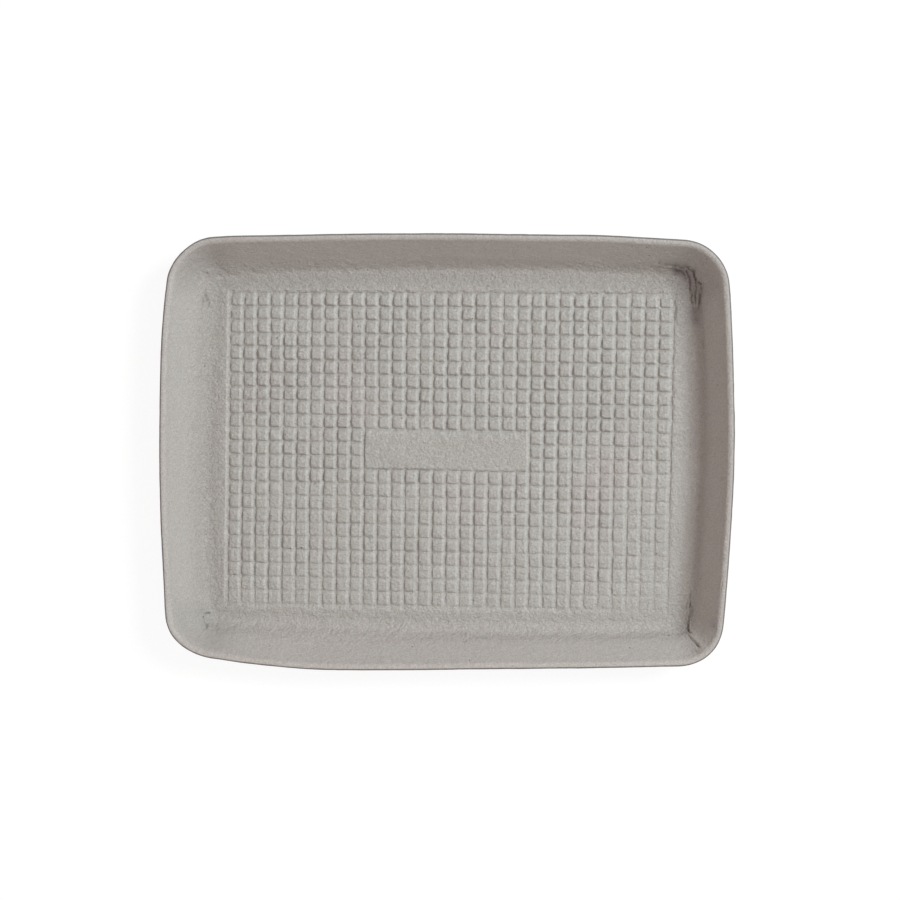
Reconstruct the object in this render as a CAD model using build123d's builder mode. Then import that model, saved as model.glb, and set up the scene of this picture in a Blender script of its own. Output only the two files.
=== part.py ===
"""Moulded fibre food tray: one thin pressed wall with a flat lip, sloping sides and a waffle-grooved floor.

Millimetres, +Z up, +X along the long sides. The origin is the middle of the underside, on the table.
"""

import os
from math import atan, cos, degrees, floor, radians, tan

from build123d import *

# Rim outline, seen from above
rim_length = 304.8
rim_width = 231.0
long_side_bow = 3.7
short_side_bow = 6.2
floor_corner_radius = 2.3

# Wall section
tray_height = 25.4
wall = 2.0
wall_lean = 30.0
floor_radius = 11.5
lip_width = 3.3
lip_thickness = 2.2
lip_roll = 1.2
lip_edge_lean = 20.0

# Waffle grooves pressed into the floor, and the plain panel in their middle
cell_pitch_x = 7.49
cell_pitch_y = 7.38
groove_width = 2.4
groove_depth = 0.8
pattern_margin = 3.0
panel_columns = 12
panel_rows = 3

# The wall leans outwards, so it is wider level with the table than through its own thickness
lean_slope = tan(radians(wall_lean))
wall_run = wall / cos(radians(wall_lean))
floor_bend = radians(90 - wall_lean)
floor_inset = lip_width + (tray_height - wall) * lean_slope + floor_radius * tan(floor_bend / 2)
rim_corner_radius = floor_corner_radius + floor_inset


def cells_beside_panel(rim_size, panel_size, pitch):
    """Whole cells that fit on the flat floor from the panel to the pattern's edge, on one side."""
    flat_floor = rim_size - 2 * floor_inset
    room = (flat_floor - panel_size - groove_width) / 2 - pattern_margin
    return floor(room / pitch)


panel_length = panel_columns * cell_pitch_x
panel_width = panel_rows * cell_pitch_y
side_columns = cells_beside_panel(rim_length, panel_length, cell_pitch_x)
side_rows = cells_beside_panel(rim_width, panel_width, cell_pitch_y)
side_length = side_columns * cell_pitch_x
side_width = side_rows * cell_pitch_y
pattern_length = panel_length + 2 * side_length
pattern_width = panel_width + 2 * side_width

# Rim outline: a rectangle with four gently bowed sides and round corners
corner_x = rim_length / 2 - short_side_bow
corner_y = rim_width / 2 - long_side_bow
with BuildSketch() as rim:
    with BuildLine():
        SagittaArc((-corner_x, -corner_y), (corner_x, -corner_y), -long_side_bow)
        SagittaArc((corner_x, -corner_y), (corner_x, corner_y), -short_side_bow)
        SagittaArc((corner_x, corner_y), (-corner_x, corner_y), -long_side_bow)
        SagittaArc((-corner_x, corner_y), (-corner_x, -corner_y), -short_side_bow)
    make_face()
    fillet(rim.vertices(), rim_corner_radius)


def basin(mouth_inset, bottom, bottom_radius):
    """Form with sloping sides and a rounded bottom edge; its slope, carried on upwards, meets the rim outline."""
    meeting_height = tray_height + mouth_inset / lean_slope
    meeting_plane = Plane.XY.offset(meeting_height)
    with BuildPart() as form:
        with BuildSketch(meeting_plane):
            add(rim.sketch)
        extrude(amount=bottom - meeting_height)
        sides = form.faces().filter_by(Plane.XY, reverse=True)
        draft(sides, -meeting_plane, wall_lean)
        fillet(form.edges().group_by(Axis.Z)[0], bottom_radius)
    return form.part


outside = basin(lip_width - wall_run, 0, floor_radius + wall)
inside = basin(lip_width, wall, floor_radius)

# Groove section: a V that carries on above the floor, so that the cut is clean
flank_slope = groove_width / 2 / groove_depth
flank_angle = degrees(atan(flank_slope))
cutter_height = 2 * groove_depth
cutter_half_width = flank_slope * cutter_height
groove_bottom = Plane.XY.offset(wall - groove_depth)


def groove(length):
    """Straight V-shaped cutter along X."""
    with BuildPart() as cutter:
        with BuildSketch(Plane(groove_bottom.origin, x_dir=(0, 1, 0), z_dir=(1, 0, 0))):
            Polygon((-cutter_half_width, cutter_height), (0, 0), (cutter_half_width, cutter_height), align=None)
        extrude(amount=length / 2, both=True)
    return cutter.part


# Groove round the pattern, with mitred corners
with BuildPart() as border_groove:
    with BuildSketch(groove_bottom):
        Rectangle(pattern_length, pattern_width)
    extrude(amount=cutter_height)
    draft(border_groove.faces().filter_by(Plane.XY, reverse=True), -groove_bottom, flank_angle)
    with BuildSketch(groove_bottom):
        Rectangle(pattern_length, pattern_width)
    extrude(amount=cutter_height, taper=flank_angle, mode=Mode.SUBTRACT)

with BuildPart() as tray:
    add(outside)
    split(bisect_by=Plane.XY.offset(tray_height), keep=Keep.BOTTOM)
    with BuildSketch(Plane.XY.offset(tray_height - lip_thickness)):
        add(rim.sketch)
    extrude(amount=lip_thickness, taper=lip_edge_lean)
    add(inside, mode=Mode.SUBTRACT)
    lip_top = tray.faces().sort_by(Axis.Z)[-1]
    chamfer(lip_top.inner_wires()[0].edges(), lip_roll)

    # Waffle: long grooves beside the panel, then short ones that stop at it
    add(border_groove.part, mode=Mode.SUBTRACT)
    with GridLocations(panel_length + side_length - cell_pitch_x, 0, 2, 1):
        with GridLocations(cell_pitch_x, 0, side_columns, 1):
            add(groove(pattern_width), rotation=(0, 0, 90), mode=Mode.SUBTRACT)
    with GridLocations(cell_pitch_x, panel_width + side_width, panel_columns - 1, 2):
        add(groove(side_width), rotation=(0, 0, 90), mode=Mode.SUBTRACT)
    with GridLocations(0, panel_width + side_width - cell_pitch_y, 1, 2):
        with GridLocations(0, cell_pitch_y, 1, side_rows):
            add(groove(pattern_length), mode=Mode.SUBTRACT)
    with GridLocations(panel_length + side_length, cell_pitch_y, 2, panel_rows - 1):
        add(groove(side_length), mode=Mode.SUBTRACT)

tray.part.label = "tray"
os.makedirs("parts", exist_ok=True)
export_step(tray.part, "parts/tray.step")
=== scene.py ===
"""Moulded fibre food tray for a picture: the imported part's form with grooves, fibre and drying marks.

Lengths are millimetres in the tray's frame until the mesh is made, and metres from there on.
"""

from math import atan2, cos, pi, radians, sin, sqrt, tan

import bpy
import numpy as np
from mathutils import Matrix, Vector


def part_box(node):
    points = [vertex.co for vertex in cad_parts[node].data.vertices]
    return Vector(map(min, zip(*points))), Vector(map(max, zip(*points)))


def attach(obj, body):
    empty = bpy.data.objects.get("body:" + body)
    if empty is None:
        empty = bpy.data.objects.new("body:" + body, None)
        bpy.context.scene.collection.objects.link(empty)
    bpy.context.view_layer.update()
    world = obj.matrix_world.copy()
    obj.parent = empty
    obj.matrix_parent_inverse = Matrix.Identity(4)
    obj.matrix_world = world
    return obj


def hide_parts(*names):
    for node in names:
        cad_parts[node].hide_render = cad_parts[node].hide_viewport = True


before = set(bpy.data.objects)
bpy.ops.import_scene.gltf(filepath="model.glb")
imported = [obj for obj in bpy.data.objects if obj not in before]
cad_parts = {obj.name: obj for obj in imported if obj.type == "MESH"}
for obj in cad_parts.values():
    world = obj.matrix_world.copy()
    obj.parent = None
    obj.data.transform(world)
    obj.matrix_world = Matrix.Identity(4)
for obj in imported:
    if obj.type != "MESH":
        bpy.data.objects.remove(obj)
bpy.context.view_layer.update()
MM = 0.001

# Tray form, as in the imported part; the dried rim stands a little past its box
tray_low, tray_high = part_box("tray")
rim_length = (tray_high.x - tray_low.x) / MM
rim_width = (tray_high.y - tray_low.y) / MM
tray_height = (tray_high.z - tray_low.z) / MM
rim_spread = 0.3
long_side_bow = 3.7
short_side_bow = 6.2
floor_corner_radius = 2.3
wall = 2.0
wall_lean = radians(30)
floor_radius = 11.5
lip_width = 3.3
lip_thickness = 2.2
lip_edge_lean = radians(20)
lip_crown_radius = 1.2
lip_foot_radius = 0.5
lip_root_out = 0.4
lip_root_in = 0.35
lip_root_drop = 0.6
floor_bend = pi / 2 - wall_lean
floor_inset = lip_width + (tray_height - wall) * tan(wall_lean) + floor_radius * tan(floor_bend / 2)
rim_corner_radius = floor_corner_radius + floor_inset
outline_steps = 30

# Waffle grooves and the plain panel; a groove has a long flank, a narrow bottom and a steep flank
cell_pitch = (7.49, 7.38)
cell_count = (32, 23)
panel_cells = (12, 3)
panel_edge = 0.6
line_tolerance = 0.1
groove_places = ((-1.95, -0.3, 0.3, 0.95), (-1.4, -0.1, 0.35, 0.9))
groove_shares = (1.0, 0.85)
groove_depth = 1.25
groove_overrun = 1.5
groove_end = (-1.2, 0.4)
corner_flare = 0.45
corner_flare_middle = 0.4
corner_flare_reach = (0.7, 1.7)
# Painted highlight on each groove's long flank, the flank that faces the key light: places and shares
highlight_flank_places = ((-2.3, -1.9, -1.3, -0.3), (-2.7, -1.9, -1.2, -0.3))
highlight_flank_shares = (1.0, 0.45)

# Where the waffle is pressed less: the share lost, and the span of places over which it is lost
front_line_loss = 0.3
front_line_span = (-50, 30)
front_loss = 0.45
front_span = (-88, -62)
right_loss = 0.4
right_span = (70, 124)
right_end_span = (-60, 40)

# The floor's edge dips, and keeps a skin above the underside
pattern_edge = 3.0
floor_dip = 1.4
floor_dip_power = 9
floor_dip_reach = 1.03
floor_dip_rise = 0.3
floor_skin = 0.3

# Drying has turned, shifted and spread the floor's pattern; spreads are at drift_reach from the middle
drift_reach = 100.0
drift_change = 0.4
pattern_shift = (0.05, -0.4)
pattern_turn = (0.0025, -0.0084)
pattern_bow = 0.9
pattern_twist = 0.55
pattern_spread = 0.2
pattern_skew = 0.4
pattern_curl = 0.9

# Where the dried rim has drifted from its even outline: plan place, reach and shift
rim_pulls = (
    ((-75.0, -115.0), 32.0, (0.0, -1.6)),
    ((-35.0, -115.0), 45.0, (0.0, -1.4)),
    ((-132.0, -110.0), 18.0, (0.4, 1.5)),
    ((150.0, 70.0), 60.0, (0.5, 0.0)),
    ((152.0, 0.0), 30.0, (0.5, 0.0)),
    ((82.0, 115.0), 24.0, (0.0, 0.55)),
    ((148.0, 85.0), 18.0, (0.3, 0.0)),
    ((-141.0, 105.0), 14.0, (0.6, -0.6)),
    ((140.0, -104.0), 14.0, (0.6, -0.6)),
    ((-145.0, -92.0), 18.0, (-0.8, 0.0)),
    ((-149.0, 60.0), 28.0, (-0.6, 0.0)),
    ((-114.0, 112.0), 16.0, (0.0, 0.4)),
)

# Mesh lines across a groove and the last cell, the lines that fan out round a corner, and the rings
groove_samples = ((-2.3, -1.95, -1.3, -0.3, 0.3, 0.62, 0.95, 2.1), (-2.5, -1.4, -0.1, 0.35, 0.9, 1.8))
last_cell_samples = (1.5, 2.3, 3.2, 4.6)
corner_lines = 19
extra_corner_lines = 8
margin_shares = (0.3, 0.65)
bend_rings = 25
wall_rings = 7
lip_roll_rings = 6
lip_crown_rings = 6
lip_foot_rings = 4
outer_wall_shares = (0.0, 0.33, 0.66)
outer_bend_rings = 7
underside_shares = (0.8, 0.55, 0.3, 0.1)

# Unevenness as layers of noise: strength, size of a lump and seed
noise_cells = 256
groove_wander_layers = ((0.22, 9, 21), (0.12, 3.5, 31))
pressing_layers = ((0.25, 14, 41), (0.25, 5, 42))
pressing_limits = (0.4, 1.3)
broad_pulp_layers = ((0.06, 10, 51),)
fine_pulp_layers = ((0.04, 4, 52), (0.03, 1.8, 53))
pulp_slant = 2
foot_gain = 2.6
foot_middle = 1.5
foot_reach = 2.5

# Folds and marks in the dried pulp: half width, depth, how far the left side stands up, and plan places
folds = (
    (0.6, 0.7, 0.0, ((113.3, 101.4), (117.2, 100.1), (123.6, 99.7))),
    (0.6, 1.5, 0.0, ((123.6, 99.7), (129.0, 99.0), (131.5, 96.5), (133.4, 93.0))),
    (0.6, 1.3, 0.0, ((133.4, 93.0), (133.7, 88.5), (133.0, 84.8), (133.7, 80.0))),
    (0.7, 1.5, 0.0, ((128.9, 97.2), (130.4, 92.7), (130.8, 88.4), (131.5, 84.4), (132.0, 80.0))),
    (0.6, 1.1, 0.0, ((134.9, 91.6), (136.2, 90.3), (136.1, 86.5), (135.6, 82.3), (135.6, 79.5))),
    (0.5, 0.8, 0.0, ((121.4, 98.1), (125.0, 97.3), (127.6, 95.6))),
    # These two wide, shallow folds mostly lay painted shade over the back right corner
    (2.2, 0.4, 0.0, ((123.4, 97.6), (126.8, 96.0), (129.5, 92.8))),
    (3.6, 0.75, 0.0, ((122.0, 98.2), (128.5, 96.5), (132.2, 92.0), (133.0, 84.0), (133.5, 72.0))),
    (0.5, 0.7, 0.0, ((137.6, 60.6), (137.9, 57.6))),
    (0.5, 0.5, 0.0, ((122.5, 80.5), (123.3, 77.5), (122.4, 73.0), (123.9, 69.6))),
    (0.5, 0.5, 0.0, ((98.9, 79.9), (98.3, 74.9), (99.0, 72.4))),
    (0.45, 1.3, 0.5, (
        (133.1, -77.0), (132.6, -79.9), (133.4, -83.9), (133.9, -86.1), (132.2, -89.4),
        (131.6, -94.3), (131.7, -98.9), (134.2, -101.2), (136.2, -102.9))),
    (0.45, 0.8, 0.0, ((131.5, -81.8), (130.9, -83.7), (131.0, -85.1))),
    (0.45, 0.9, 0.0, ((133.4, -104.0), (134.3, -104.8), (135.0, -105.3))),
    (0.6, -0.7, 0.0, ((132.6, -104.8), (132.9, -104.9))),
    (0.6, -0.7, 0.0, ((134.7, -103.6), (135.0, -103.8))),
    (0.5, -0.7, 0.0, ((135.6, -104.5), (135.8, -104.6))),
    (0.5, -0.4, 0.0, ((130.5, -84.6), (130.7, -84.7))),
    (1.2, 0.3, 0.0, ((143.6, -86.7), (143.5, -91.7), (143.7, -95.3))),
    (0.5, 0.5, 0.0, ((146.5, -70.4), (146.7, -71.8))),
    (0.5, 0.4, 0.0, ((147.6, -55.0), (149.6, -55.2))),
    (0.5, 0.4, 0.0, ((147.0, -12.7), (149.0, -12.9))),
    (0.6, 0.5, 0.0, ((7.3, -113.9), (8.5, -113.9))),
    (0.5, 0.9, 0.0, ((-131.4, -90.4), (-128.9, -90.5))),
    (0.5, 0.6, 0.0, ((-132.0, -91.8), (-131.2, -94.1), (-128.5, -98.5))),
    (0.6, 0.6, 0.0, ((-129.8, 95.3), (-129.0, 93.1))),
    (0.6, 0.6, 0.0, ((-131.4, 86.7), (-130.6, 80.8))),
    (0.6, 0.8, 0.0, ((-132.2, 80.2), (-131.2, 78.1))),
    (0.6, 0.8, 0.0, ((-130.3, 80.8), (-129.3, 78.6))),
    (0.6, 0.35, 0.0, ((24.6, 89.4), (23.7, 70.6))),
)
fold_skin = 0.6
fold_lift_reach = 4.0
fold_wobble_layers = (((0.45, 1.8, 71),), ((0.45, 1.8, 72),))
fold_ragged_layers = ((0.6, 1.8, 73),)
fold_ragged_middle = 0.9
fold_ragged_limits = (0.4, 1.2)
fold_ridge_place = 1.7
fold_ridge_reach = 0.9
fold_ridge_share = 0.3

# Painted shade on the rim's last rings, at the foot of the wall and in the corners: strength and span of
# places
rim_edge_shades = (0.5, 1.0, 1.0, 1.0, 1.0, 1.0, 1.0, 1.0)
painted_left_shade = 1.2
painted_left_shade_span = (-125, -60)
painted_back_shade = 1.6
painted_back_shade_span = (50, 88)
painted_front_shade = 0.4
painted_front_shade_span = (-92, -60)
painted_foot_shade_reach = 0.05
painted_corner_shade_span = (0.88, 1.0)
painted_corner_shade_turn = (-60, 60)
shade_below_rim = (5, 1.5)

# Warm, smooth and pale areas
warm_front = 0.5
warm_front_span = (-92, -106)
warm_dip = 0.5
smooth_start = 1
pale_below_rim = (3, 0.5)

# Fibre's colours, each with the share of it that its mark mixes in
pulp_dark = (0.368, 0.343, 0.314)
pulp_light = (0.412, 0.393, 0.366)
pulp_warm = (0.405, 0.355, 0.334)
speckle_dark = (0.23, 0.21, 0.185)
speckle_light = (0.55, 0.535, 0.51)
speckle_share = 0.32
edge_warm = (0.425, 0.375, 0.352)
edge_warm_share = 0.75
wall_pale = (0.50, 0.48, 0.455)
wall_pale_share = 0.3
# Painted highlight for the grooves' long flanks, with its share
flank_highlight_colour = (0.60, 0.585, 0.56)
flank_highlight_share = 0.55
# Painted shade at the foot of the wall and in the corners, with its share
foot_shade_colour = (0.28, 0.253, 0.232)
foot_shade_share = 0.5
strand_pale = (0.47, 0.455, 0.425)
strand_pale_share = 0.35
fleck_brown = (0.20, 0.165, 0.135)
# Folds darken partly with soil and partly with painted shade; the rim's outer edge takes the same painted
# shade
soil_and_shade_colour = (0.09, 0.075, 0.068)
soil_and_shade_share = 0.85

# Fibre's grain: noises as scale, detail and roughness, and the spans of noise that are drawn out
patch_noise = (26, 3, 0.5)
patch_span = (0.3, 0.7)
warm_noise = (17, 2, 0.5)
warm_span = (0.55, 0.75)
speckle_noise = (1300, 1, 0.5)
speckle_span = (0.32, 0.68)
grain_noise = (800, 1, 0.4)
coarse_noise = (300, 1, 0.5)
coarse_share = 1.2
strand_angles = (15, 75, 130)
strand_length = 0.0030
strand_width = 0.00035
strand_bend = 0.6
strand_span = (0.58, 0.74)
strand_relief = 0.25
fleck_scale = 130
fleck_span = (0.075, 0.045)
fleck_rarity = 0.72
wall_calm = 0.5
bump_depth = 0.0006
fibre_roughness = 0.58
fibre_specular = 0.5

# Light, table and camera; a lamp has azimuth, elevation, distance, size, level and colour
ambient_level = 0.45
ambient_colour = (1.16, 1.0, 0.96)
key_light = (28, 47, 2.0, 0.6, 0.85, (0.88, 1.0, 1.03))
fill_light = (-115, 55, 0.6, 0.4, 0.08, (1.0, 1.0, 1.0))
table_reach = 3.0
table_level = -0.0003
table_grey = 0.3
table_roughness = 0.9
table_shade = 0.12
table_glow = 0.9
camera_lens = 74.6
camera_sensor = 36
camera_shift = 0.004
camera_lean = (0.0344, 0.0436)
camera_roll = 0.0072
camera_distance = 1.0132


def ease(t):
    return t * t * (3 - 2 * t)


def smooth_step(low, high, value):
    return ease(np.clip((value - low) / (high - low), 0, 1))


def value_noise(x, y, size, seed):
    """Smooth noise from -1 to 1 whose lumps are about size millimetres across."""
    table = np.random.default_rng(seed).uniform(-1, 1, (noise_cells, noise_cells))
    u, v = x / size, y / size
    i, j = np.floor(u).astype(int), np.floor(v).astype(int)
    fu, fv = ease(u - i), ease(v - j)
    i0, j0 = i % noise_cells, j % noise_cells
    i1, j1 = (i + 1) % noise_cells, (j + 1) % noise_cells
    low = table[i0, j0] * (1 - fu) + table[i1, j0] * fu
    high = table[i0, j1] * (1 - fu) + table[i1, j1] * fu
    return low * (1 - fv) + high * fv


def lumps(x, y, layers, seed_step=0):
    """Layers of noise added up."""
    return sum(strength * value_noise(x, y, size, seed + seed_step) for strength, size, seed in layers)


class RimOutline:
    """The bowed outline and its insets. A point is found by the direction the outline faces there."""

    def __init__(self):
        half_length = rim_length / 2 + rim_spread
        half_width = rim_width / 2 + rim_spread
        half_chord_x = half_length - short_side_bow
        half_chord_y = half_width - long_side_bow
        self.long_radius = (half_chord_x ** 2 + long_side_bow ** 2) / (2 * long_side_bow)
        self.short_radius = (half_chord_y ** 2 + short_side_bow ** 2) / (2 * short_side_bow)
        self.long_centre = half_width - self.long_radius
        self.short_centre = half_length - self.short_radius
        x, y = half_chord_x - rim_corner_radius, half_chord_y - rim_corner_radius
        for _ in range(outline_steps):
            x = self.short_centre + sqrt((self.short_radius - rim_corner_radius) ** 2 - y * y)
            y = self.long_centre + sqrt((self.long_radius - rim_corner_radius) ** 2 - x * x)
        self.corner = (x, y)
        self.corner_start = atan2(y, x - self.short_centre)
        self.corner_end = atan2(y - self.long_centre, x)

    def points(self, facing, inset):
        """Plan positions at an inset from the rim, for an array of facing angles."""
        cosine, sine = np.cos(facing), np.sin(facing)
        angle = np.arctan2(np.abs(sine), np.abs(cosine))
        arcs = (angle < self.corner_start, angle > self.corner_end)
        radius = np.select(arcs, (self.short_radius, self.long_radius), rim_corner_radius)
        centre_x = np.select(arcs, (self.short_centre, 0.0), self.corner[0])
        centre_y = np.select(arcs, (0.0, self.long_centre), self.corner[1])
        x = (centre_x + (radius - inset) * np.cos(angle)) * np.where(cosine < 0, -1, 1)
        y = (centre_y + (radius - inset) * np.sin(angle)) * np.where(sine < 0, -1, 1)
        return x, y

    def edge_share(self, x, y, inset):
        """How near places are to the outline at an inset, 0 in the middle and 1 there, across X and Y."""
        short_edge = self.short_centre + np.sqrt((self.short_radius - inset) ** 2 - y * y)
        long_edge = self.long_centre + np.sqrt((self.long_radius - inset) ** 2 - x * x)
        return np.abs(x) / short_edge, np.abs(y) / long_edge


outline = RimOutline()


def grid_lines(axis):
    """Mesh lines across the floor, gathered at the grooves, with more at the ends for the corners."""
    pitch, count = cell_pitch[axis], cell_count[axis]
    grooves = (np.arange(count + 1) - count / 2) * pitch
    lines = (grooves[:, None] + np.array(groove_samples[axis])).ravel()
    edge = count * pitch / 2 + pattern_edge
    ends = edge - pattern_edge * np.arange(extra_corner_lines // 2) / extra_corner_lines
    last_cell = grooves[-2] + np.array(last_cell_samples)
    return np.sort(np.concatenate([lines, -ends, ends, -last_cell, last_cell]))


def groove_shape(distance, axis):
    """Depth share of a groove at a distance from its line."""
    return groove_shares[axis] * np.interp(distance, groove_places[axis], (0.0, 1.0, 1.0, 0.0))


def flank_shape(distance, axis):
    """How much painted highlight a groove's long flank takes at a distance from its line."""
    return np.interp(distance, highlight_flank_places[axis], (0.0, 1.0, 1.0, 0.0))


def groove_distance(along, axis):
    """The nearest groove across an axis, counted from the middle, and how far places are from its line."""
    half_count = cell_count[axis] / 2
    line = np.clip(np.round(along / cell_pitch[axis] + half_count), 0, cell_count[axis]) - half_count
    return line, along - line * cell_pitch[axis]


def groove_wander(x, y, axis):
    """How far the grooves across an axis wander from their straight lines."""
    return lumps(x, y, groove_wander_layers, axis)


def groove_presence(line, across, axis):
    """1 along a groove, 0 past its ends and inside the panel."""
    other = 1 - axis
    end = cell_count[other] * cell_pitch[other] / 2 + groove_overrun
    ends = 1 - smooth_step(end + groove_end[0], end + groove_end[1], np.abs(across))
    in_line = np.abs(line) < panel_cells[axis] / 2 - line_tolerance
    panel_half = panel_cells[other] * cell_pitch[other] / 2
    outside = smooth_step(panel_half - panel_edge, panel_half + panel_edge, np.abs(across))
    return ends * np.where(in_line, outside, 1.0)


def waffle_pattern(x, y):
    """How deep the pattern is pressed at each floor point, and how much painted highlight its long flanks
    take.

    Where grooves meet, the cells' corners are round.
    """
    raised = np.ones_like(x)
    flank_highlight = np.zeros_like(x)
    line_x, distance_x = groove_distance(x, 0)
    line_y, distance_y = groove_distance(y, 1)
    near = 1 - smooth_step(*corner_flare_reach, np.abs(distance_x - corner_flare_middle))
    flared_y = distance_y * (1 - corner_flare * near)
    weaker = (1.0, 1 - front_line_loss * (1 - smooth_step(*front_line_span, y)))
    for axis, (line, distance, across) in enumerate(((line_x, distance_x, y), (line_y, flared_y, x))):
        presence = groove_presence(line, across, axis)
        groove = groove_shape(distance, axis) * presence * weaker[axis]
        flank = flank_shape(distance, axis) * presence
        # The long flank takes a painted highlight, except where the other groove cuts it away
        flank_highlight = np.maximum(flank_highlight * (1 - groove), flank * highlight_flank_shares[axis] * raised)
        raised *= 1 - groove
    strength = np.clip(1 + lumps(x, y, pressing_layers), *pressing_limits) * waffle_fade(x, y)
    return groove_depth * (1 - raised) * strength, flank_highlight * strength


def waffle_fade(x, y):
    """The pressing is weaker at the front edge and the front right corner."""
    front = 1 - smooth_step(*front_span, y)
    right = smooth_step(*right_span, x) * (1 - smooth_step(*right_end_span, y))
    return (1 - front_loss * front) * (1 - right_loss * right)


def path_distance(x, y, path):
    """Distance to a path of plan places, and whether a place is on the path's left."""
    nearest = np.full_like(x, np.inf)
    on_left = np.zeros_like(x)
    for (ax, ay), (bx, by) in zip(path[:-1], path[1:]):
        length = (bx - ax) ** 2 + (by - ay) ** 2
        t = np.clip(((x - ax) * (bx - ax) + (y - ay) * (by - ay)) / length, 0, 1)
        away = np.hypot(x - ax - t * (bx - ax), y - ay - t * (by - ay))
        left = (bx - ax) * (y - ay) - (by - ay) * (x - ax) > 0
        on_left = np.where(away < nearest, left, on_left)
        nearest = np.minimum(nearest, away)
    return nearest, on_left


def fold_depth(x, y):
    """How deep the folds cut in at plan places, with a raised edge beside each."""
    depth = np.zeros_like(x)
    wobble_x, wobble_y = fold_wobble_layers
    x, y = x + lumps(x, y, wobble_x), y + lumps(x, y, wobble_y)
    ragged = np.clip(fold_ragged_middle + lumps(x, y, fold_ragged_layers), *fold_ragged_limits)
    for half_width, deep, lift, path in folds:
        nearest, on_left = path_distance(x, y, path)
        cut = np.clip(1 - nearest / half_width, 0, 1)
        ridge = np.clip(1 - np.abs(nearest / half_width - fold_ridge_place) / fold_ridge_reach, 0, 1)
        depth += deep * ragged * (cut - fold_ridge_share * ridge)
        depth -= lift * on_left * np.clip(1 - nearest / fold_lift_reach, 0, 1)
    return depth


def pulp_relief(x, y, z):
    """Unevenness of the pulp along the surface's normal, stronger at the foot of the wall."""
    u, v = x + pulp_slant * z, y - pulp_slant * z
    foot = 1 + foot_gain * np.exp(-((z - wall - foot_middle) / foot_reach) ** 2)
    return lumps(u, v, broad_pulp_layers) + foot * lumps(u, v, fine_pulp_layers)


def floor_sag(x, y):
    """How far the floor's edge hangs below its middle."""
    u, v = outline.edge_share(x, y, floor_inset)
    u, v = np.minimum(u, floor_dip_reach), np.minimum(v, floor_dip_reach)
    flat = (1 - u ** floor_dip_power) * (1 - v ** floor_dip_power)
    return floor_dip * (1 - flat)


def painted_foot_shade(x, y, z):
    """Painted shade at the foot of the wall and in the corners, mostly at the left and the back."""
    along, across = outline.edge_share(x, y, floor_inset)
    left = painted_left_shade * (1 - smooth_step(*painted_left_shade_span, x))
    back = painted_back_shade * smooth_step(*painted_back_shade_span, y)
    front = painted_front_shade * (1 - smooth_step(*painted_front_shade_span, y))
    sides = np.maximum(np.maximum(left, back), front)
    foot = np.exp(-((np.maximum(along, across) - 1) / painted_foot_shade_reach) ** 2) * sides
    corner = smooth_step(*painted_corner_shade_span, np.minimum(along, across))
    corner *= np.maximum(1 - smooth_step(*painted_corner_shade_turn, x), smooth_step(*painted_corner_shade_turn, y))
    return np.maximum(foot, corner) * (1 - near_rim(z, shade_below_rim))


def near_rim(z, below):
    """0 low down, 1 at the rim; it changes between two depths below the rim."""
    return smooth_step(tray_height - below[0], tray_height - below[1], z)


def arc(centre, radius, start, end, steps):
    """Section points (inset, height) on an arc; the angle turns from straight down, towards the rim."""
    angles = np.linspace(start, end, steps)
    return [(centre[0] - radius * sin(a), centre[1] - radius * cos(a)) for a in angles]


def crown(centre, radius, start, end, steps):
    """Section points on a rounded top; the angle turns from straight up, towards the tray's middle."""
    angles = np.linspace(start, end, steps)
    return [(centre[0] + radius * sin(a), centre[1] + radius * cos(a)) for a in angles]


def between(start, end, shares):
    return [(start[0] + (end[0] - start[0]) * t, start[1] + (end[1] - start[1]) * t) for t in shares]


def lip_section():
    """Over the lip: the roll out of the wall, the round top, the leaning edge and its foot."""
    edge_bend = pi / 2 - lip_edge_lean
    crest = lip_thickness * tan(lip_edge_lean) + lip_crown_radius * tan(edge_bend / 2)
    roll_radius = (lip_width - crest) / tan(floor_bend / 2)
    roll = crown((crest, tray_height - roll_radius), roll_radius, floor_bend, 0, lip_roll_rings)
    top_centre = (crest, tray_height - lip_crown_radius)
    top = crown(top_centre, lip_crown_radius, 0, -edge_bend, lip_crown_rings)[1:]
    foot_inset = lip_foot_radius * (tan(lip_edge_lean) + 1 / cos(lip_edge_lean))
    foot_centre = (foot_inset, tray_height - lip_thickness + lip_foot_radius)
    return roll + top + crown(foot_centre, lip_foot_radius, -edge_bend, -pi, lip_foot_rings)


def inner_section():
    """The section from the floor up the wall and over the lip."""
    bend = arc((floor_inset, wall + floor_radius), floor_radius, 0, floor_bend, bend_rings)
    lip = lip_section()
    climb = between(bend[-1], lip[0], np.linspace(0, 1, wall_rings)[1:-1])
    return bend + climb + lip


def outer_section():
    """The section from under the lip down the outside to the flat underside."""
    centre = (floor_inset, wall + floor_radius)
    bend = arc(centre, floor_radius + wall, floor_bend, 0, outer_bend_rings)
    under = tray_height - lip_thickness
    root_inset = lip_width - wall / cos(wall_lean) + lip_thickness * tan(wall_lean)
    root = (root_inset - lip_root_out, under)
    low_root = (root_inset + lip_root_in, under - lip_root_drop)
    return [root] + between(low_root, bend[0], outer_wall_shares) + bend


def side_facings(lines, radius, tangent_angle, corner_angle):
    """Angles from a side's middle for its grid lines; the last lines fan out round the corners."""
    last = len(lines) - 1
    reach = (radius - floor_inset) * sin(tangent_angle)
    low, high = lines[corner_lines], lines[last - corner_lines]
    places = (lines - (low + high) / 2) * 2 * reach / (high - low)
    angles = np.arcsin(np.clip(places, -reach, reach) / (radius - floor_inset))
    turn = np.arange(1, corner_lines + 1) / corner_lines
    fan = tangent_angle + (corner_angle - tangent_angle) * turn
    angles[last - corner_lines + 1:] = fan
    angles[:corner_lines] = -fan[::-1]
    return angles


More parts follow.
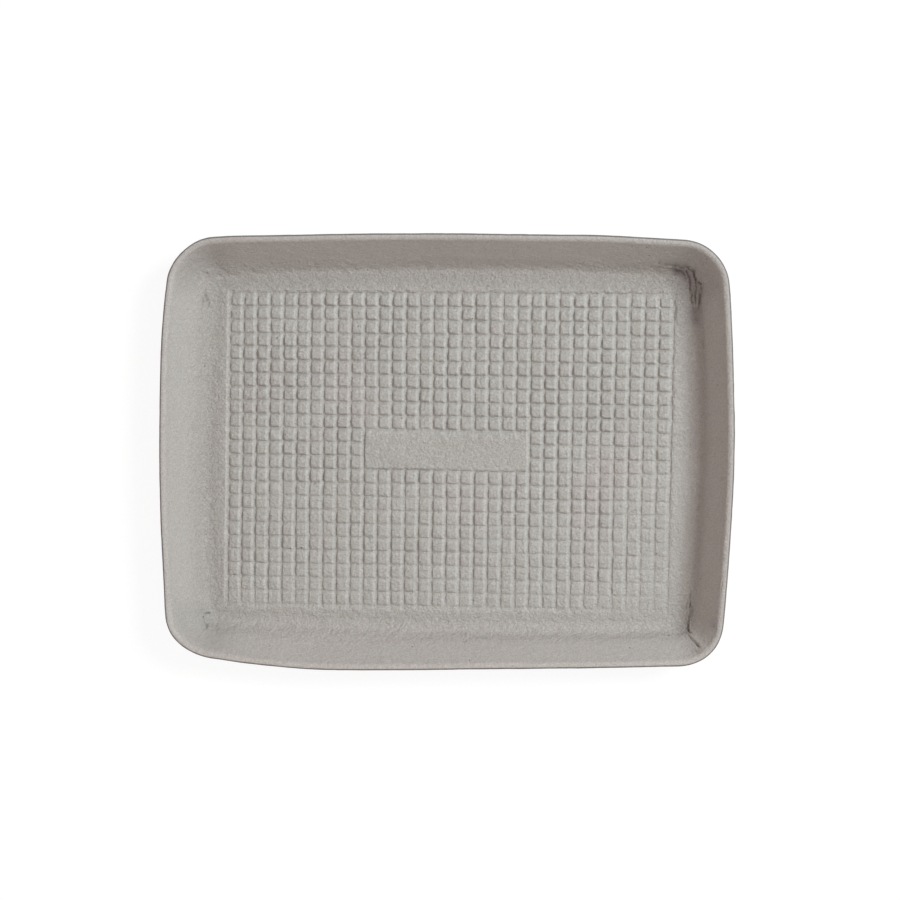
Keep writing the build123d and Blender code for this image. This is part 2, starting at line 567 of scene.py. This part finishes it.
def perimeter_facings(xs, ys):
    """Facing angles round the floor grid's edge, counter-clockwise from the front right corner."""
    middle = (outline.corner_start + outline.corner_end) / 2
    short = side_facings(ys, outline.short_radius, outline.corner_start, middle)
    long = side_facings(xs, outline.long_radius, pi / 2 - outline.corner_end, pi / 2 - middle)
    right = short[:-1]
    back = pi / 2 - long[::-1][:-1]
    left = pi - short[::-1][:-1]
    front = 3 * pi / 2 + long[:-1]
    return np.concatenate([right, back, left, front])


def drying_drift(x, y, z):
    """In-plane drift of the dried tray: the pattern's on the floor, the rim's pulls above it."""
    u, v = x / drift_reach, y / drift_reach
    along = pattern_shift[0] + pattern_turn[0] * y + (pattern_bow + pattern_twist * v) * u * u
    spread = (pattern_spread + pattern_skew * u + pattern_curl * u * v) * v
    across = pattern_shift[1] + pattern_turn[1] * x + spread
    rim_along, rim_across = np.zeros_like(x), np.zeros_like(y)
    for (px, py), reach, (dx, dy) in rim_pulls:
        pull = np.exp(-((x - px) ** 2 + (y - py) ** 2) / reach ** 2)
        rim_along += dx * pull
        rim_across += dy * pull
    share = smooth_step(wall, tray_height * drift_change, z)
    return along * (1 - share) + rim_along * share, across * (1 - share) + rim_across * share


def drifted(x, y, z):
    """Plan places after the drift, for points at one height."""
    along, across = drying_drift(x, y, np.full_like(x, z))
    return x + along, y + across


class ShellMesh:
    """Points and faces that grow ring by ring from the floor grid."""

    def __init__(self, points, faces, border):
        self.points = [points]
        self.faces = faces
        self.border = border
        self.total = len(points)

    def add_ring(self, ring_points):
        """Joins a ring to the last one; a ring of half as many points takes every second point of it."""
        ring = self.total + np.arange(len(ring_points))
        if len(ring) == len(self.border):
            columns = [self.border, ring, np.roll(ring, -1), np.roll(self.border, -1)]
        else:
            even, odd = self.border[0::2], self.border[1::2]
            columns = [even, ring, np.roll(ring, -1), np.roll(even, -1), odd]
        self.faces.extend(np.stack(columns, axis=1).tolist())
        self.points.append(ring_points)
        self.border = ring
        self.total += len(ring)


def floor_grid(xs, ys):
    """The waffle floor, its border counter-clockwise from the front right corner, and the painted highlight
    on its long flanks.
    """
    gx, gy = np.meshgrid(xs, ys, indexing="ij")
    x, y = gx.ravel(), gy.ravel()
    pressed, flank_highlight = waffle_pattern(x, y)
    z = wall + pulp_relief(x, y, np.full_like(x, wall)) - pressed - floor_sag(x, y)
    x, y = x - groove_wander(x, y, 0), y - groove_wander(x, y, 1)
    z = np.maximum(z - fold_depth(*drifted(x, y, wall)), floor_skin)
    index = np.arange(len(x)).reshape(gx.shape)
    quads = np.stack([index[:-1, :-1], index[1:, :-1], index[1:, 1:], index[:-1, 1:]], axis=-1)
    right, back = index[-1, :-1], index[::-1, -1][:-1]
    left, front = index[0, ::-1][:-1], index[:-1, 0]
    border = np.concatenate([right, back, left, front])
    return ShellMesh(np.stack([x, y, z], axis=1), quads.reshape(-1, 4).tolist(), border), flank_highlight


def add_margin(shell, first_x, first_y):
    """Rings between the floor grid and the foot of the bend."""
    edge = shell.points[0][shell.border]
    for share in margin_shares:
        x = edge[:, 0] + (first_x - edge[:, 0]) * share
        y = edge[:, 1] + (first_y - edge[:, 1]) * share
        relief = pulp_relief(x, y, np.full_like(x, wall))
        rise = relief - fold_depth(*drifted(x, y, wall)) - floor_sag(x, y)
        shell.add_ring(np.stack([x, y, np.maximum(wall + rise, floor_skin)], axis=1))


def add_inside(shell, facing):
    """Margin of the floor, wall and lip, with pulp relief and folds along the section's normal."""
    section = np.array(inner_section())
    add_margin(shell, *outline.points(facing, section[0][0]))
    tangent = np.gradient(np.stack([-section[:, 0], section[:, 1]], axis=1), axis=0)
    tangent /= np.linalg.norm(tangent, axis=1)[:, None]
    for (inset, height), (along_out, along_up) in zip(section, tangent):
        x, y = outline.points(facing, inset)
        risen = smooth_step(wall + floor_dip_rise, wall + floor_radius / 2, height)
        sag = floor_sag(x, y) * (1 - risen)
        room = wall - fold_skin - sag * along_out
        push = pulp_relief(x, y, np.full_like(x, height)) - fold_depth(*drifted(x, y, height))
        push = np.maximum(push, -room)
        out = -push * along_up
        z = np.maximum(height + push * along_out - sag, floor_skin)
        shell.add_ring(np.stack([x + out * np.cos(facing), y + out * np.sin(facing), z], axis=1))


def add_outside(shell, facing):
    """Outer side and underside, on half as many lines."""
    for inset, height in outer_section():
        x, y = outline.points(facing[0::2], inset)
        shell.add_ring(np.stack([x, y, np.full_like(x, height)], axis=1))
    base = shell.points[-1]
    for share in underside_shares:
        shell.add_ring(base * np.array([share, share, 1.0]))
    shell.faces.append(shell.border[::-1].tolist())


def add_attribute(mesh, name, values):
    attribute = mesh.attributes.new(name, "FLOAT", "POINT")
    attribute.data.foreach_set("value", values.astype(np.float32))


def add_marks(mesh, points, inside_count, line_count, flank_highlight):
    """Point attributes that the material reads; the painted shade and the soil stay on the inside."""
    x, y, z = points.T
    # Folds darken partly with soil and partly with painted shade
    soil_and_shade = np.clip(fold_depth(x, y), 0, 1)
    # The rim's last rings take painted shade on its outer edge
    edge = np.repeat(rim_edge_shades, line_count)
    soil_and_shade[inside_count - len(edge):inside_count] = edge
    soil_and_shade[inside_count:] = 0
    # Painted shade at the foot of the wall and in the corners, kept off the outside
    foot = painted_foot_shade(x, y, z)
    foot[inside_count:] = 0
    front = smooth_step(*warm_front_span, y)
    height = smooth_step(wall + smooth_start, wall + floor_radius, z)
    add_attribute(mesh, "fold_soil_and_edge_shade", soil_and_shade)
    add_attribute(mesh, "foot", foot)
    # Painted highlight on the grooves' long flanks
    add_attribute(mesh, "flank_highlight", np.pad(flank_highlight, (0, len(points) - len(flank_highlight))))
    add_attribute(mesh, "warm", warm_front * front + warm_dip * floor_sag(x, y) / floor_dip)
    add_attribute(mesh, "height", height)
    add_attribute(mesh, "pale", height * (1 - near_rim(z, pale_below_rim)))


def lead_normals_by_area(mesh):
    """Sets point normals that follow the larger faces, so that the pads between grooves stay flat."""
    normals = np.empty(3 * len(mesh.polygons), dtype=np.float32)
    areas = np.empty(len(mesh.polygons), dtype=np.float32)
    totals = np.empty(len(mesh.polygons), dtype=np.int32)
    corners = np.empty(len(mesh.loops), dtype=np.int32)
    mesh.polygons.foreach_get("normal", normals)
    mesh.polygons.foreach_get("area", areas)
    mesh.polygons.foreach_get("loop_total", totals)
    mesh.loops.foreach_get("vertex_index", corners)
    weighted = normals.reshape(-1, 3) * (areas[:, None] / MM ** 2) ** 2
    summed = np.zeros((len(mesh.vertices), 3))
    np.add.at(summed, corners, np.repeat(weighted, totals, axis=0))
    summed /= np.linalg.norm(summed, axis=1)[:, None]
    mesh.normals_split_custom_set_from_vertices(summed.tolist())


def tray_mesh():
    xs, ys = grid_lines(0), grid_lines(1)
    facing = perimeter_facings(xs, ys)
    shell, flank_highlight = floor_grid(xs, ys)
    add_inside(shell, facing)
    inside_count = shell.total
    add_outside(shell, facing)
    points = np.concatenate(shell.points)
    along, across = drying_drift(*points.T)
    points[:, 0] += along
    points[:, 1] += across
    mesh = bpy.data.meshes.new("tray_shell")
    mesh.from_pydata((points * MM).tolist(), [], shell.faces)
    mesh.shade_smooth()
    mesh.update()
    lead_normals_by_area(mesh)
    add_marks(mesh, points, inside_count, len(facing), flank_highlight)
    tray = bpy.data.objects.new("tray_shell", mesh)
    bpy.context.scene.collection.objects.link(tray)
    return tray


class NodeSheet:
    """Adds a material's nodes and joins them. A value is a number, a colour or a node's output."""

    def __init__(self, material):
        self.nodes = material.node_tree.nodes
        self.links = material.node_tree.links
        self.place = self.nodes.new("ShaderNodeTexCoord").outputs["Object"]

    def feed(self, socket, value):
        if isinstance(value, tuple):
            socket.default_value = (*value, 1)
        elif isinstance(value, float):
            socket.default_value = value
        else:
            self.links.new(value, socket)

    def mix(self, factor, low, high):
        node = self.nodes.new("ShaderNodeMix")
        node.data_type = "RGBA"
        self.feed(node.inputs["Factor"], factor)
        self.feed(node.inputs["A"], low)
        self.feed(node.inputs["B"], high)
        return node.outputs["Result"]

    def combine(self, operation, a, b):
        node = self.nodes.new("ShaderNodeMath")
        node.operation = operation
        self.feed(node.inputs[0], a)
        self.feed(node.inputs[1], b)
        return node.outputs["Value"]

    def ramp(self, value, span):
        """0 before the span, 1 after it."""
        node = self.nodes.new("ShaderNodeMapRange")
        node.inputs["From Min"].default_value = span[0]
        node.inputs["From Max"].default_value = span[1]
        self.links.new(value, node.inputs["Value"])
        return node.outputs["Result"]

    def noise(self, scale, detail, roughness):
        node = self.nodes.new("ShaderNodeTexNoise")
        node.inputs["Scale"].default_value = scale
        node.inputs["Detail"].default_value = detail
        node.inputs["Roughness"].default_value = roughness
        self.links.new(self.place, node.inputs["Vector"])
        return node.outputs["Fac"]

    def mark(self, name, share):
        """A point attribute of the mesh, times a share."""
        node = self.nodes.new("ShaderNodeAttribute")
        node.attribute_name = name
        return self.combine("MULTIPLY", node.outputs["Fac"], share)

    def strands(self, angle):
        """Thin fibres that lie one way, as noise drawn out."""
        node = self.nodes.new("ShaderNodeMapping")
        node.vector_type = "TEXTURE"
        node.inputs["Rotation"].default_value = (0, 0, radians(angle))
        node.inputs["Scale"].default_value = (strand_length, strand_width, strand_width)
        self.links.new(self.place, node.inputs["Vector"])
        drawn = self.nodes.new("ShaderNodeTexNoise")
        drawn.inputs["Scale"].default_value = 1.0
        drawn.inputs["Detail"].default_value = 1.0
        drawn.inputs["Distortion"].default_value = strand_bend
        self.links.new(node.outputs["Vector"], drawn.inputs["Vector"])
        return self.ramp(drawn.outputs["Fac"], strand_span)

    def flecks(self):
        """Small rare dots."""
        fleck = self.nodes.new("ShaderNodeTexVoronoi")
        fleck.inputs["Scale"].default_value = fleck_scale
        self.links.new(self.place, fleck.inputs["Vector"])
        spot = self.ramp(fleck.outputs["Distance"], fleck_span)
        rare = self.nodes.new("ShaderNodeSeparateColor")
        self.links.new(fleck.outputs["Color"], rare.inputs["Color"])
        chosen = self.combine("GREATER_THAN", rare.outputs["Red"], fleck_rarity)
        return self.combine("MULTIPLY", spot, chosen)


def fibre_colour(sheet, strands):
    """Mottled pulp, speckle, pale strands and flecks; painted highlight on groove flanks; painted shade at
    the foot, corners, rim edge and soiled folds.
    """
    patches = sheet.mix(sheet.ramp(sheet.noise(*patch_noise), patch_span), pulp_dark, pulp_light)
    warm = sheet.mix(sheet.ramp(sheet.noise(*warm_noise), warm_span), patches, pulp_warm)
    edged = sheet.mix(sheet.mark("warm", edge_warm_share), warm, edge_warm)
    climbed = sheet.mix(sheet.mark("pale", wall_pale_share), edged, wall_pale)
    # Painted highlight on the grooves' long flanks, which face the key light
    flank_highlight = sheet.mix(sheet.mark("flank_highlight", flank_highlight_share), climbed, flank_highlight_colour)
    # Painted shade at the foot of the wall and in the corners
    foot_shaded = sheet.mix(sheet.mark("foot", foot_shade_share), flank_highlight, foot_shade_colour)
    speckle = sheet.ramp(sheet.noise(*speckle_noise), speckle_span)
    speckled = sheet.mix(speckle_share, foot_shaded, sheet.mix(speckle, speckle_dark, speckle_light))
    stranded = sheet.mix(sheet.combine("MULTIPLY", strands, strand_pale_share), speckled, strand_pale)
    flecked = sheet.mix(sheet.flecks(), stranded, fleck_brown)
    # Folds darkened by soil and painted shade, and painted shade on the rim's outer edge
    return sheet.mix(sheet.mark("fold_soil_and_edge_shade", soil_and_shade_share), flecked, soil_and_shade_colour)


def fibre_relief(sheet, strands):
    """Height of the grain, calmer up the wall."""
    coarse = sheet.combine("MULTIPLY", sheet.noise(*coarse_noise), coarse_share)
    grain = sheet.combine("ADD", sheet.noise(*grain_noise), coarse)
    relief = sheet.combine("ADD", grain, sheet.combine("MULTIPLY", strands, strand_relief))
    calm = sheet.combine("SUBTRACT", 1.0, sheet.mark("height", wall_calm))
    return sheet.combine("MULTIPLY", relief, calm)


def fibre_material():
    material = bpy.data.materials.new("moulded_fibre")
    material.use_nodes = True
    sheet = NodeSheet(material)
    shader = sheet.nodes["Principled BSDF"]
    shader.inputs["Roughness"].default_value = fibre_roughness
    shader.inputs["Specular IOR Level"].default_value = fibre_specular
    strands = sheet.strands(strand_angles[0])
    for angle in strand_angles[1:]:
        strands = sheet.combine("MAXIMUM", strands, sheet.strands(angle))
    sheet.links.new(fibre_colour(sheet, strands), shader.inputs["Base Color"])
    bump = sheet.nodes.new("ShaderNodeBump")
    bump.inputs["Strength"].default_value = 1.0
    bump.inputs["Distance"].default_value = bump_depth
    sheet.links.new(fibre_relief(sheet, strands), bump.inputs["Height"])
    sheet.links.new(bump.outputs["Normal"], shader.inputs["Normal"])
    return material


def background_ray(nodes, links):
    """1 for the rays that see the white background: straight, mirrored or through clear matter."""
    path = nodes.new("ShaderNodeLightPath")
    seen = path.outputs["Is Camera Ray"]
    for name in ("Is Glossy Ray", "Is Transmission Ray"):
        either = nodes.new("ShaderNodeMath")
        either.operation = "MAXIMUM"
        links.new(seen, either.inputs[0])
        links.new(path.outputs[name], either.inputs[1])
        seen = either.outputs["Value"]
    return seen


def add_world():
    world = bpy.data.worlds.new("studio")
    bpy.context.scene.world = world
    world.use_nodes = True
    nodes, links = world.node_tree.nodes, world.node_tree.links
    ambient = nodes["Background"]
    ambient.inputs["Color"].default_value = (*ambient_colour, 1)
    ambient.inputs["Strength"].default_value = ambient_level
    white = nodes.new("ShaderNodeBackground")
    white.inputs["Color"].default_value = (1, 1, 1, 1)
    mix = nodes.new("ShaderNodeMixShader")
    links.new(background_ray(nodes, links), mix.inputs["Fac"])
    links.new(ambient.outputs["Background"], mix.inputs[1])
    links.new(white.outputs["Background"], mix.inputs[2])
    links.new(mix.outputs["Shader"], nodes["World Output"].inputs["Surface"])


def add_lamp(name, azimuth, elevation, distance, size, level, colour):
    """Square lamp that points at the tray; level is the light it gives a surface that faces it."""
    lamp = bpy.data.lights.new(name, "AREA")
    lamp.shape = "SQUARE"
    lamp.size = size
    lamp.energy = level * (pi * distance) ** 2
    lamp.color = colour
    body = bpy.data.objects.new(name, lamp)
    azimuth, elevation = radians(azimuth), radians(elevation)
    towards = Vector((cos(azimuth) * cos(elevation), sin(azimuth) * cos(elevation), sin(elevation)))
    body.location = towards * distance
    body.rotation_euler = towards.to_track_quat("Z", "Y").to_euler()
    bpy.context.scene.collection.objects.link(body)


def table_material():
    """Plain grey for the light, white with the object's shadow for the rays that see the background."""
    material = bpy.data.materials.new("white_table")
    material.use_nodes = True
    nodes, links = material.node_tree.nodes, material.node_tree.links
    plain = nodes["Principled BSDF"]
    plain.inputs["Base Color"].default_value = (table_grey, table_grey, table_grey, 1)
    plain.inputs["Roughness"].default_value = table_roughness
    shade = nodes.new("ShaderNodeBsdfDiffuse")
    shade.inputs["Color"].default_value = (table_shade, table_shade, table_shade, 1)
    glow = nodes.new("ShaderNodeEmission")
    glow.inputs["Strength"].default_value = table_glow
    seen = nodes.new("ShaderNodeAddShader")
    links.new(shade.outputs["BSDF"], seen.inputs[0])
    links.new(glow.outputs["Emission"], seen.inputs[1])
    mix = nodes.new("ShaderNodeMixShader")
    links.new(background_ray(nodes, links), mix.inputs["Fac"])
    links.new(plain.outputs["BSDF"], mix.inputs[1])
    links.new(seen.outputs["Shader"], mix.inputs[2])
    links.new(mix.outputs["Shader"], nodes["Material Output"].inputs["Surface"])
    return material


def add_floor():
    mesh = bpy.data.meshes.new("floor")
    ends = ((-1, -1), (1, -1), (1, 1), (-1, 1))
    corners = [(table_reach * x, table_reach * y, table_level) for x, y in ends]
    mesh.from_pydata(corners, [], [(0, 1, 2, 3)])
    floor = bpy.data.objects.new("floor", mesh)
    bpy.context.scene.collection.objects.link(floor)
    mesh.materials.append(table_material())


def add_camera():
    """Looks down at the tray from a little to the right and behind, as the photograph does."""
    lens = bpy.data.cameras.new("camera")
    lens.lens = camera_lens
    lens.sensor_width = camera_sensor
    lens.shift_x = camera_shift
    camera = bpy.data.objects.new("camera", lens)
    back = Vector((tan(camera_lean[0]), tan(camera_lean[1]), 1)).normalized()
    up_hint = Vector((-sin(camera_roll), cos(camera_roll), 0))
    right = up_hint.cross(back).normalized()
    up = back.cross(right)
    turn = Matrix((right, up, back)).transposed().to_4x4()
    camera.matrix_world = Matrix.Translation(back * camera_distance) @ turn
    bpy.context.scene.collection.objects.link(camera)
    bpy.context.scene.camera = camera


tray = tray_mesh()
tray.data.materials.append(fibre_material())
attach(tray, "root")
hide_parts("tray")
add_floor()
add_world()
add_lamp("key", *key_light)
add_lamp("fill", *fill_light)
add_camera()
bpy.context.scene.view_settings.view_transform = "Standard"
